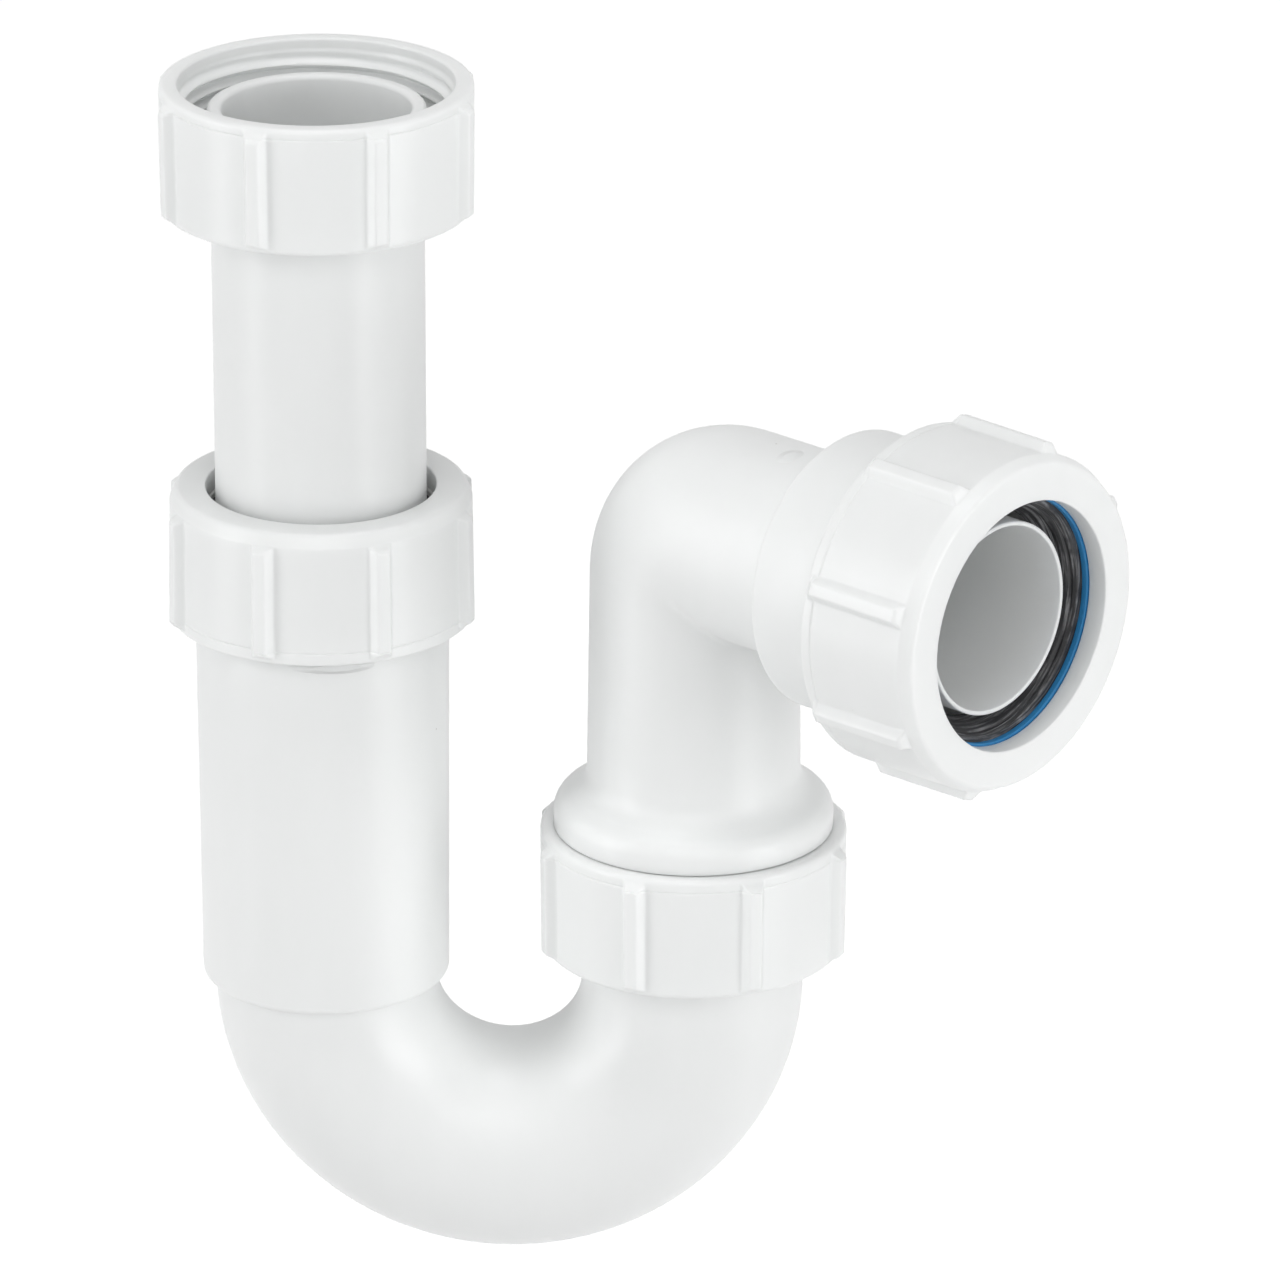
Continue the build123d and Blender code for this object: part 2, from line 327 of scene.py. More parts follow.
class Bench:
    """The node tree of one material or world."""

    def __init__(self, owner: Union[bpy.types.Material, bpy.types.World]) -> None:
        """Clears the owner's nodes."""
        owner.use_nodes = True
        self.tree = owner.node_tree
        self.tree.nodes.clear()

    def node(
        self,
        kind: str,
        settings: Optional[Mapping[str, Any]] = None,
        inputs: Optional[Mapping[Union[str, int], Any]] = None,
        output: Union[str, int] = 0,
    ) -> Signal:
        """Adds a node.

        Args:
            kind: The node's type.
            settings: Its own settings, and "stops" for a ramp's positions and greys.
            inputs: Values or signals for its sockets, by name or number.
            output: The socket that is handed back.

        Returns:
            The chosen output.
        """
        node = self.tree.nodes.new(kind)
        for key, value in (settings or {}).items():
            if key == "stops":
                for stop, (position, grey) in zip(node.color_ramp.elements, value):
                    stop.position = position
                    stop.color = (grey, grey, grey, 1.0)
            else:
                setattr(node, key, value)
        for key, value in (inputs or {}).items():
            if isinstance(value, Signal):
                self.tree.links.new(value.socket, node.inputs[key])
            else:
                node.inputs[key].default_value = value
        return Signal(self, node.outputs[output] if len(node.outputs) else None)

    def output(self, signal: Signal, name: Union[str, int]) -> Signal:
        """Another output of the node that a signal comes from."""
        return Signal(self, signal.socket.node.outputs[name])

    def place(self) -> Signal:
        """Object coordinates, in metres."""
        return self.node("ShaderNodeTexCoord", output="Object")

    def noise(self, size: float, detail: float, place: Optional[Signal] = None) -> Signal:
        """Soft noise from 0 to 1, by the millimetres across its lumps and its finer layers."""
        at = {"Vector": place or self.place(), "Scale": 1 / (size * MM)}
        return self.node("ShaderNodeTexNoise", None, {**at, "Detail": detail, "Roughness": NOISE_FALL})

    def ramp(self, signal: Signal, low: float, high: float) -> Signal:
        """0 below low and 1 above high, with a straight run between."""
        return self.node("ShaderNodeValToRGB", {"stops": ((low, 0.0), (high, 1.0))}, {"Fac": signal})

    def mix(self, share: Any, first: Any, second: Any) -> Signal:
        """A colour between two colours."""
        return self.node("ShaderNodeMix", {"data_type": "RGBA"}, {0: share, 6: first, 7: second}, output=2)

    def finish(self, colour: Signal, rough: Signal, height: Signal, fixed: Mapping[str, Any]) -> None:
        """Ends a material with its shader.

        Args:
            colour: The base colour.
            rough: The roughness.
            height: The relief, in millimetres.
            fixed: The shader's other values, which are the same all over.
        """
        normal = self.node("ShaderNodeBump", None, {"Height": height, "Strength": 1.0, "Distance": MM})
        inputs = {"Base Color": colour, "Roughness": rough, "Normal": normal, **fixed}
        shader = self.node("ShaderNodeBsdfPrincipled", None, inputs)
        self.node("ShaderNodeOutputMaterial", None, {"Surface": shader})


class Slot(Enum):
    """The record's material slots."""

    MOULDING = "white_moulding"
    WHITE_WASHER = "white_washer"
    BLUE_WASHER = "blue_washer"
    RUBBER = "black_rubber"


@dataclass(frozen=True)
class Mark:
    """A small raised mark that the mould leaves on a piece."""

    centre: Triple
    size: Triple
    turn: float
    height: float
    crown: float = 0.55

    def relief(self, bench: Bench) -> Signal:
        """The mark's relief.

        Args:
            bench: The material's node tree.

        Returns:
            Its height over the skin, which falls to nothing at its edge.
        """
        spot = bench.node(
            "ShaderNodeMapping",
            {"vector_type": "TEXTURE"},
            {
                "Vector": bench.place(),
                "Location": Vector(self.centre) * MM,
                "Rotation": (0.0, 0.0, self.turn),
                "Scale": Vector(self.size) * MM,
            },
        )
        away = bench.node("ShaderNodeVectorMath", {"operation": "LENGTH"}, {0: spot}, output=1)
        return (1 - bench.ramp(away, self.crown, 1.0)) * self.height


@dataclass(frozen=True)
class Moulding:
    """The finish of white injection-moulded polypropylene."""

    name: str
    roughness: float
    wave: float
    grain: float
    marks: tuple[Mark, ...] = ()
    slot: Slot = Slot.MOULDING
    colour: Colour = (0.90, 0.912, 0.908, 1.0)
    flow_colour: Colour = (0.86, 0.874, 0.870, 1.0)
    speck_colour: Colour = (0.42, 0.40, 0.37, 1.0)
    roughness_spread: float = 0.05
    refraction: float = 1.49
    softness: float = 0.5
    soft_reach: float = 2.8 * MM
    cloud_size: float = 34.0
    cloud_share: float = 0.55
    streak_size: float = 5.0
    streak_share: float = 0.25
    streak_squash: float = 0.22
    speck_spacing: float = 7.0
    speck_edge: tuple[float, float] = (0.018, 0.034)
    speck_share: float = 0.5
    speck_area: float = 11.0
    speck_rarity: float = 0.66
    scuff_size: float = 9.0
    wave_size: float = 14.0
    grain_size: float = 0.55

    def body_colour(self, bench: Bench, cloud: Signal) -> Signal:
        """The plastic's colour.

        Args:
            bench: The material's node tree.
            cloud: The clouds that also dull the gloss.

        Returns:
            White with clouds, faint flow marks and rare specks.
        """
        squash = (1.0, 1.0, self.streak_squash)
        along = bench.node("ShaderNodeMapping", None, {"Vector": bench.place(), "Scale": squash})
        streak = bench.ramp(bench.noise(self.streak_size, 1.0, along), 0.25, 0.8)
        flow = cloud * self.cloud_share + streak * self.streak_share
        body = bench.mix(flow, self.colour, self.flow_colour)
        spread = {"Vector": bench.place(), "Scale": 1 / (self.speck_spacing * MM)}
        cells = bench.node("ShaderNodeTexVoronoi", None, spread, output="Distance")
        rare = bench.noise(self.speck_area, 0.0) > self.speck_rarity
        speck = (1 - bench.ramp(cells, *self.speck_edge)) * rare
        return bench.mix(speck * self.speck_share, body, self.speck_colour)

    def material(self) -> bpy.types.Material:
        """The whole finish, with a wavy skin and fine grain.

        Returns:
            The new material.
        """
        made = bpy.data.materials.new(self.name)
        bench = Bench(made)
        cloud = bench.ramp(bench.noise(self.cloud_size, 1.0), 0.25, 0.75)
        scuff = bench.ramp(bench.noise(self.scuff_size, 1.0), 0.25, 0.8)
        rough = self.roughness + scuff * self.roughness_spread + cloud * (self.roughness_spread / 2)
        height = bench.noise(self.wave_size, 1.0) * self.wave
        height = height + bench.noise(self.grain_size, 3.0) * self.grain
        for mark in self.marks:
            height = height + mark.relief(bench)
        fixed = {
            "IOR": self.refraction,
            "Subsurface Weight": self.softness,
            "Subsurface Radius": (1.0, 1.0, 1.0),
            "Subsurface Scale": self.soft_reach,
        }
        bench.finish(self.body_colour(bench, cloud), rough, height, fixed)
        return made


@dataclass(frozen=True)
class Rubber:
    """The finish of a dull black moulded seal, with grey streaks along its rings."""

    name: str
    axle: Axle
    slot: Slot = Slot.RUBBER
    colour: Colour = (0.020, 0.020, 0.022, 1.0)
    streak_grey: Colour = (0.36, 0.36, 0.37, 1.0)
    roughness: float = 0.46
    specular: float = 0.45
    ring_size: float = 0.45
    ring_drift: float = 0.07
    ring_height: float = 0.05
    grey_patch_size: float = 5.0
    grey_patch_roughness: float = 0.2
    grain_size: float = 0.35
    grain: float = 0.01

    def rings(self, bench: Bench) -> Signal:
        """The fine streaks that run round the seal.

        Args:
            bench: The material's node tree.

        Returns:
            1 on a streak and 0 between them, from the distance to the seal's own axis.
        """
        place = self.axle.place
        axis = {"Location": place.to_translation() * MM, "Rotation": place.to_euler()}
        lay = bench.node("ShaderNodeMapping", {"vector_type": "TEXTURE"}, {"Vector": bench.place(), **axis})
        parts = bench.node("ShaderNodeSeparateXYZ", None, {0: lay})
        flat = bench.node("ShaderNodeCombineXYZ", None, {0: parts, 1: bench.output(parts, 1)})
        radius = bench.node("ShaderNodeVectorMath", {"operation": "LENGTH"}, {0: flat}, output=1)
        rings = bench.node("ShaderNodeCombineXYZ", None, {0: radius, 1: bench.output(parts, 2)})
        sway = bench.node("ShaderNodeVectorMath", {"operation": "SCALE"}, {0: lay, "Scale": self.ring_drift})
        broken = bench.node("ShaderNodeVectorMath", {"operation": "ADD"}, {0: rings, 1: sway})
        return bench.ramp(bench.noise(self.ring_size, 4.0, broken), 0.46, 0.64)

    def material(self) -> bpy.types.Material:
        """Near black, with grey on the fine streaks where patchy clouds cross them.

        Returns:
            The new material.
        """
        made = bpy.data.materials.new(self.name)
        bench = Bench(made)
        streaks = self.rings(bench)
        # Patchy clouds: where they cross the ring streaks, grey is mixed into the black, and the same clouds
        # roughen the rubber.
        grey_patch = bench.ramp(bench.noise(self.grey_patch_size, 4.0), 0.38, 0.75)
        colour = bench.mix(streaks * grey_patch, self.colour, self.streak_grey)
        rough = self.roughness + grey_patch * self.grey_patch_roughness
        height = streaks * self.ring_height + bench.noise(self.grain_size, 3.0) * self.grain
        bench.finish(colour, rough, height, {"Specular IOR Level": self.specular})
        return made


@dataclass(frozen=True)
class WasherPlastic:
    """The finish of a soft slip washer, stamped from sheet."""

    name: str
    slot: Slot
    colour: Colour
    shade: Colour
    roughness: float = 0.36
    specular: float = 0.45
    cloud_size: float = 7.0
    cloud_share: float = 0.6
    rub_size: float = 1.5
    rub_roughness: float = 0.2
    grain_size: float = 0.5
    grain: float = 0.015

    def material(self) -> bpy.types.Material:
        """One colour, a little uneven, with fine rubbing marks.

        Returns:
            The new material.
        """
        made = bpy.data.materials.new(self.name)
        bench = Bench(made)
        cloud = bench.ramp(bench.noise(self.cloud_size, 4.0), 0.35, 0.75)
        colour = bench.mix(cloud * self.cloud_share, self.colour, self.shade)
        rough = self.roughness + bench.noise(self.rub_size, 4.0) * self.rub_roughness
        height = bench.noise(self.grain_size, 3.0) * self.grain
        bench.finish(colour, rough, height, {"Specular IOR Level": self.specular})
        return made


SPRUE_BEAD = Mark((4.5, -22.1, -88.1), (9.0, 3.0, 1.1), 0.0, 0.6)
ARM_TICK = Mark((82.7, -17.4, -49.1), (1.9, 3.0, 1.2), -0.72, 0.35)
NUT_FINISH = Moulding("white_nut_moulding", roughness=0.29, wave=0.02, grain=0.002)
TUBE_FINISH = Moulding("white_tube_moulding", roughness=0.32, wave=0.03, grain=0.004)
TRAP_FINISH = replace(TUBE_FINISH, name="white_trap_moulding", marks=(SPRUE_BEAD,))
ELBOW_FINISH = replace(TUBE_FINISH, name="white_elbow_moulding", marks=(ARM_TICK,))
INLET_SEAL_FINISH = Rubber("black_inlet_seal_rubber", INLET_AXLE)
OUTLET_SEAL_FINISH = Rubber("black_outlet_seal_rubber", ARM_AXLE)
BLUE_FINISH = WasherPlastic(
    "blue_slip_washer", Slot.BLUE_WASHER, (0.026, 0.235, 0.510, 1.0), (0.018, 0.180, 0.430, 1.0)
)
WHITE_FINISH = WasherPlastic(
    "white_flat_washer", Slot.WHITE_WASHER, (0.80, 0.80, 0.78, 1.0), (0.72, 0.72, 0.70, 1.0)
)
Finish = Union[Moulding, Rubber, WasherPlastic]


def dress(shell: Shell, node: str, body: str, finish: Finish, place: Matrix) -> None:
    """Finishes a piece and puts it in the place of its solid.

    Args:
        shell: The piece's skin.
        node: The solid that it stands for.
        body: The body that it rides on.
        finish: Its finish.
        place: Where it goes, in millimetres.
    """
    piece = shell.piece(f"{node}_moulding", place)
    piece.data.materials.append(bpy.data.materials.get(finish.name) or finish.material())
    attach(piece, body)
    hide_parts(node)
    log.info("%s: %d faces on %s", piece.name, len(piece.data.polygons), body)


class Side(Enum):
    """Which way a thread stands off its wall."""

    MALE = 1
    FEMALE = -1


@dataclass(frozen=True)
class Thread:
    """A right-hand screw thread on a plain wall, between two heights."""

    wall_r: float
    low: float
    high: float
    side: Side = Side.MALE
    phase: float = 0.0
    reach: float = 0.01
    ridge_half: float = 0.38
    ridge_flank: float = 0.26
    ridge_blend: float = 0.5

    def covers(self, r: float, z: float) -> bool:
        """Whether a point of the plain wall is on the thread."""
        return abs(r - self.wall_r) < self.reach and self.low <= z <= self.high

    def stand(self, angle: float, z: float) -> float:
        """How far the ridge stands off the wall.

        Args:
            angle: The angle about the axis.
            z: The height.

        Returns:
            The change of radius.
        """
        half_turn = 0.5 if self.side is Side.FEMALE else 0.0
        turns = z / THREAD_PITCH - angle / (2 * math.pi) + self.phase + half_turn
        from_crest = abs(turns % 1.0 - 0.5)
        ridge = soft_step((self.ridge_half - from_crest) / self.ridge_flank, self.ridge_blend)
        start = soft_step((z - self.low) / THREAD_PITCH)
        end = soft_step((self.high - z) / THREAD_PITCH)
        return self.side.value * THREAD_DEPTH * ridge * start * end

    def profile(self, r: float, angle: float, z: float) -> Triple:
        """The rule that raises the ridge on its own wall and leaves other points."""
        return (r + self.stand(angle, z) if self.covers(r, z) else r), angle, z


def threaded_tube(corners: Sequence[Corner], thread: Optional[Thread] = None) -> Shell:
    """Turns an open outline and raises the thread on its plain wall.

    Args:
        corners: The outline, whose two ends are left open.
        thread: The thread, if it has one.

    Returns:
        The skin.
    """
    shell = Shell()
    shell.outline(corners, False, lambda r, z: FINE_ROW if thread and thread.covers(r, z) else TUBE_ROW)
    shell.turn(TUBE_COLUMNS)
    if thread:
        shell.reshape(thread.profile)
    return shell


@dataclass(frozen=True)
class LugEnds:
    """The heights between which a nut's lugs stand, and the lengths of their sloping ends."""

    low: float
    high: float
    low_hip: float = 0.9
    high_hip: float = 1.4


@dataclass(frozen=True)
class GripLugs:
    """The hip-ended bars round a nut."""

    count: int = 8
    height: float = 1.75
    width: float = 4.2
    crest: float = 2.1
    crowding: float = 0.42
    blend: float = 0.2

    @property
    def sector(self) -> float:
        """The angle from one lug to the next."""
        return 2 * math.pi / self.count

    def crowd(self, angle: float) -> float:
        """Draws the columns of a mesh closer together at each lug."""
        off = (angle / self.sector) % 1.0 - 0.5
        share = self.crowding + (1 - self.crowding) * abs(2 * off) ** 3
        return angle + self.sector * off * (share - 1)

    def rise(self, r: float, angle: float, z: float, ends: LugEnds) -> float:
        """How far the lugs stand off the wall at a point.

        Args:
            r: The wall's radius.
            angle: The angle about the nut's axis.
            z: The height.
            ends: Where and how the lugs end.

        Returns:
            The height over the wall.
        """
        off = (angle / self.sector) % 1.0 - 0.5
        across = abs(off) * self.sector * r
        flank = (self.width - self.crest) / 2
        side = (self.width / 2 - across) / flank
        along = min((z - ends.low) / ends.low_hip, (ends.high - z) / ends.high_hip)
        return self.height * soft_step(soft_min(side, along, self.blend), self.blend)


@dataclass(frozen=True)
class Nut:
    """What the two kinds of nut share: a threaded wall with grip lugs and a mould's parting line."""

    node: str
    body: str
    axle: Axle
    turn: float
    bore_r: float
    hole_r: float
    wall: float
    lip: float
    parting: float
    thread_phase: float = 0.0
    draft: float = 0.25
    edge_r: float = 0.9
    lug_end: float = 0.9
    parting_depth: float = 0.14
    lugs: GripLugs = GripLugs()

    def parting_groove(self, r: float, z: float, way: int) -> list[Corner]:
        """The fine groove that the mould's halves leave round the wall, drawn up (1) or down (-1)."""
        depth = self.parting_depth
        points = ((r, z - way * depth), (r - depth, z), (r, z + way * depth))
        return [Corner(*point, SHARP) for point in points]

    def skin(self, corners: Sequence[Corner], thread: Thread, ends: LugEnds) -> Shell:
        """Turns the nut's outline and raises its lugs and thread.

        Args:
            corners: The outline.
            thread: The thread in its bore.
            ends: Where and how the lugs end.

        Returns:
            The nut's skin.
        """
        shell = Shell()
        mid_r = self.bore_r + self.wall / 2

        def profile(r: float, angle: float, z: float) -> Triple:
            """Crowds the columns, raises the lugs and cuts the thread."""
            angle = self.lugs.crowd(angle)
            if r > mid_r:
                return r + self.lugs.rise(r, angle, z, ends), angle, z
            return thread.profile(r, angle, z)

        shell.outline(corners, True, lambda r, z: FINE_ROW if r > mid_r or thread.covers(r, z) else NUT_ROW)
        shell.turn(NUT_COLUMNS)
        shell.reshape(profile)
        return shell

    def make(self) -> None:
        """Builds and dresses the nut."""
        shell, start = self.build(*self.axle.span(self.node))
        turn = Matrix.Rotation(math.radians(self.turn), 4, "Z")
        place = self.axle.place @ Matrix.Translation((0, 0, start)) @ turn
        dress(shell, self.node, self.body, NUT_FINISH, place)

    def build(self, low: float, high: float) -> tuple[Shell, float]:
        """Makes the nut's skin.

        Args:
            low: The nut's lowest point on its axle.
            high: Its highest point there.

        Returns:
            The skin, and the height of the skin's own zero on the axle.
        """
        raise NotImplementedError


@dataclass(frozen=True)
class UnionNut(Nut):
    """A nut that catches a tube's collar, open at its top."""

    pocket_r: float = 22.55
    thread_foot: float = 9.7
    entrance: float = 2.0

    def build(self, low: float, high: float) -> tuple[Shell, float]:
        """The skin from its inturned foot at zero up to its open rim."""
        length = high - low
        outer_r = self.bore_r + self.wall
        foot_r = outer_r - self.draft
        groove_z = length - self.parting
        corners = [
            Corner(self.hole_r, 0),
            Corner(foot_r, 0, self.edge_r),
            *self.parting_groove(outer_r, groove_z, 1),
            Corner(outer_r, length, self.edge_r),
            Corner(self.bore_r, length, self.edge_r / 2),
            Corner(self.bore_r, self.thread_foot),
            Corner(self.pocket_r, self.thread_foot),
            Corner(self.pocket_r, self.lip),
            Corner(self.hole_r, self.lip),
        ]
        top = length - self.entrance
        thread = Thread(self.bore_r, self.thread_foot, top, Side.FEMALE, self.thread_phase)
        return self.skin(corners, thread, LugEnds(self.lug_end, length - self.lug_end)), low


@dataclass(frozen=True)
class PressNut(Nut):
    """A nut whose inturned face presses a slip washer, open at its foot."""

    chamfer: float = 2.4
    face_hip: float = 0.8
    thread_start: float = 1.0
    thread_stop: float = 3.0

    def build(self, low: float, high: float) -> tuple[Shell, float]:
        """The skin from its face at zero down to its open rim."""
        length = high - low
        outer_r = self.bore_r + self.wall
        shoulder_r = outer_r - self.draft
        groove_z = self.parting - length
        corners = [
            Corner(self.hole_r, 0, self.edge_r / 3),
            Corner(shoulder_r - self.chamfer / 2, 0, self.edge_r),
            Corner(shoulder_r, -self.chamfer, self.edge_r),
            *self.parting_groove(outer_r, groove_z, -1),
            Corner(outer_r, -length, self.edge_r / 2),
            Corner(self.bore_r, -length, self.edge_r / 2),
            Corner(self.bore_r, -self.lip),
            Corner(self.hole_r, -self.lip),
        ]
        low_end = self.thread_start - length
        high_end = -self.lip - self.thread_stop
        thread = Thread(self.bore_r, low_end, high_end, Side.FEMALE, self.thread_phase)
        ends = LugEnds(self.lug_end - length, -self.chamfer, high_hip=self.face_hip)
        return self.skin(corners, thread, ends), high


@dataclass(frozen=True)
class TurnedPiece:
    """A plain piece turned about an axle from its outline."""

    node: str
    body: str
    axle: Axle
    finish: Finish

    def corners(self, low: float, high: float) -> list[Corner]:
        """The outline between the two heights that the solid reaches."""
        raise NotImplementedError

    def make(self) -> None:
        """Builds and dresses the piece."""
        shell = Shell()
        shell.outline(self.corners(*self.axle.span(self.node)), True, lambda r, z: WASHER_ROW)
        shell.turn(TUBE_COLUMNS)
        dress(shell, self.node, self.body, self.finish, self.axle.place)


@dataclass(frozen=True)
class InletTube(TurnedPiece):
    """The telescopic tube with its spigot and collar."""

    bore_r: float = 16.5
    tube_r: float = 18.65
    spigot_r: float = 19.1
    collar_top: float = -2.5
    rim_r: float = 0.867

    def corners(self, low: float, high: float) -> list[Corner]:
        """The outline, from the foot up round the collar and down the bore."""
        collar_foot = self.collar_top - COLLAR_THICK
        return [
            Corner(self.bore_r, low, self.rim_r),
            Corner(self.tube_r, low, self.rim_r),
            Corner(self.tube_r, collar_foot),
            Corner(COLLAR_R, collar_foot),
            Corner(COLLAR_R, self.collar_top),
            Corner(self.spigot_r, self.collar_top),
            Corner(self.spigot_r, high, self.rim_r),
            Corner(self.bore_r, high, self.rim_r),
        ]


@dataclass(frozen=True)
class Washer(TurnedPiece):
    """A flat ring with broken edges."""

    inner_r: float
    outer_r: float
    edge: float = 0.2

    def corners(self, low: float, high: float) -> list[Corner]:
        """The four corners of its section."""
        section = ((self.inner_r, low), (self.outer_r, low), (self.outer_r, high), (self.inner_r, high))
        return [Corner(r, z, self.edge) for r, z in section]


@dataclass(frozen=True)
class WedgeSeal(TurnedPiece):
    """A flanged rubber ring with a grooved bore and a wedge below its flange."""

    inner_r: float
    root_r: float
    tip_r: float
    flange: float = 2.8
    grooves: int = 3
    groove_depth: float = 0.3
    face_gap: float = 0.1
    edge_share: float = 0.22
    taper: float = 0.0

    def corners(self, low: float, high: float) -> list[Corner]:
        """The outline, down the grooved bore and up the wedge."""
        step = (high - low) / (2 * self.grooves + 1)
        slope = self.taper / (high - low)
        edge = step * self.edge_share
        bore = [Corner(self.inner_r, high, edge)]
        for i in range(self.grooves):
            deep = (2 * i + 1) * step
            for down, groove in ((0.0, 0.0), (step / 2, self.groove_depth), (step, 0.0)):
                bore.append(Corner(self.inner_r - (deep + down) * slope + groove, high - deep - down, edge))
        shoulder = high - self.flange
        bore.append(Corner(self.inner_r - self.taper, low, edge))
        return bore + [
            Corner(self.tip_r - self.face_gap, low, edge),
            Corner(self.root_r - SEAT_LAND - self.face_gap, shoulder),
            Corner(self.root_r, shoulder),
            Corner(self.root_r, high, edge),
        ]


@dataclass(frozen=True)
class TrapBody:
    """The socket leg, the U-bend and the collared second leg, moulded in one."""

    node: str = "trap_body"
    body: str = "trap"
    bend_r: float = 33.0
    tube_r: float = 19.9
    tube_bore_r: float = 17.5
    root_r: float = 22.4
    socket_r: float = 22.5
    socket_draft: float = 0.35
    socket_bore_r: float = 19.1
    socket_depth: float = 83.7
    thread_length: float = 17.2
    thread_start: float = 1.2
    thread_stop: float = 0.5
    foot_r: float = 1.3
    bend_steps: int = 72

    def leg(self, mouth: float, bend_z: float) -> Shell:
        """The socket leg.

        Args:
            mouth: The height of its mouth.
            bend_z: The height where the bend starts.

        Returns:
            The skin, open at its foot.
        """
        thread_end = mouth - self.thread_length
        floor = mouth - self.socket_depth
        corners = [
            Corner(self.tube_bore_r, bend_z, SHARP),
            Corner(self.tube_bore_r, floor),
            Corner(self.socket_bore_r, floor),
            Corner(self.socket_bore_r, mouth - SEAT_DEPTH),
            Corner(self.root_r - SEAT_LAND, mouth),
            Corner(self.root_r, mouth),
            Corner(self.root_r, thread_end, SHARP),
            Corner(self.socket_r, thread_end, STEP_EDGE),
            Corner(self.socket_r - self.socket_draft, bend_z, self.foot_r),
            Corner(self.tube_r, bend_z, SHARP),
        ]
        thread = Thread(self.root_r, thread_end + self.thread_start, mouth - self.thread_stop)
        return threaded_tube(corners, thread)

    def second_leg(self, bend_z: float, top: float) -> Shell:
        """The second leg with its collar.

        Args:
            bend_z: The height where the bend starts.
            top: The height of the collar's top.

        Returns:
            The skin, open at its foot.
        """
        collar_foot = top - COLLAR_THICK
        corners = [
            Corner(self.tube_bore_r, bend_z, SHARP),
            Corner(self.tube_bore_r, top),
            Corner(COLLAR_R, top),
            Corner(COLLAR_R, collar_foot),
            Corner(self.tube_r, collar_foot),
            Corner(self.tube_r, bend_z, SHARP),
        ]
        return threaded_tube(corners)

    def bend(self, radius: float, bend_z: float) -> Shell:
        """One skin of the U-bend, a ring swung down and up again.

        Args:
            radius: The ring's radius.
            bend_z: The height of the bend's ends.

        Returns:
            The skin, open at both ends.
        """
        shell = Shell()
        foot = Matrix.Translation((0, 0, bend_z))
        bmesh.ops.create_circle(shell.bm, radius=radius, segments=TUBE_COLUMNS, matrix=foot)
        shell.spin((self.bend_r, 0, bend_z), (0, -1, 0), math.pi, self.bend_steps)
        return shell

    def make(self) -> None:
        """Builds and dresses the trap body."""
        low, high = INLET_AXLE.span(self.node)
        bend_z = low + self.bend_r + self.tube_r
        leg_top = LEG_AXLE.span("swivel_washer")[0]
        shell = self.leg(high, bend_z)
        shell.add(self.second_leg(bend_z, leg_top), LEG_AXLE.place)
        shell.add(self.bend(self.tube_r, bend_z))
        shell.add(self.bend(self.tube_bore_r, bend_z))
        dress(shell, self.node, self.body, TRAP_FINISH, INLET_AXLE.place)


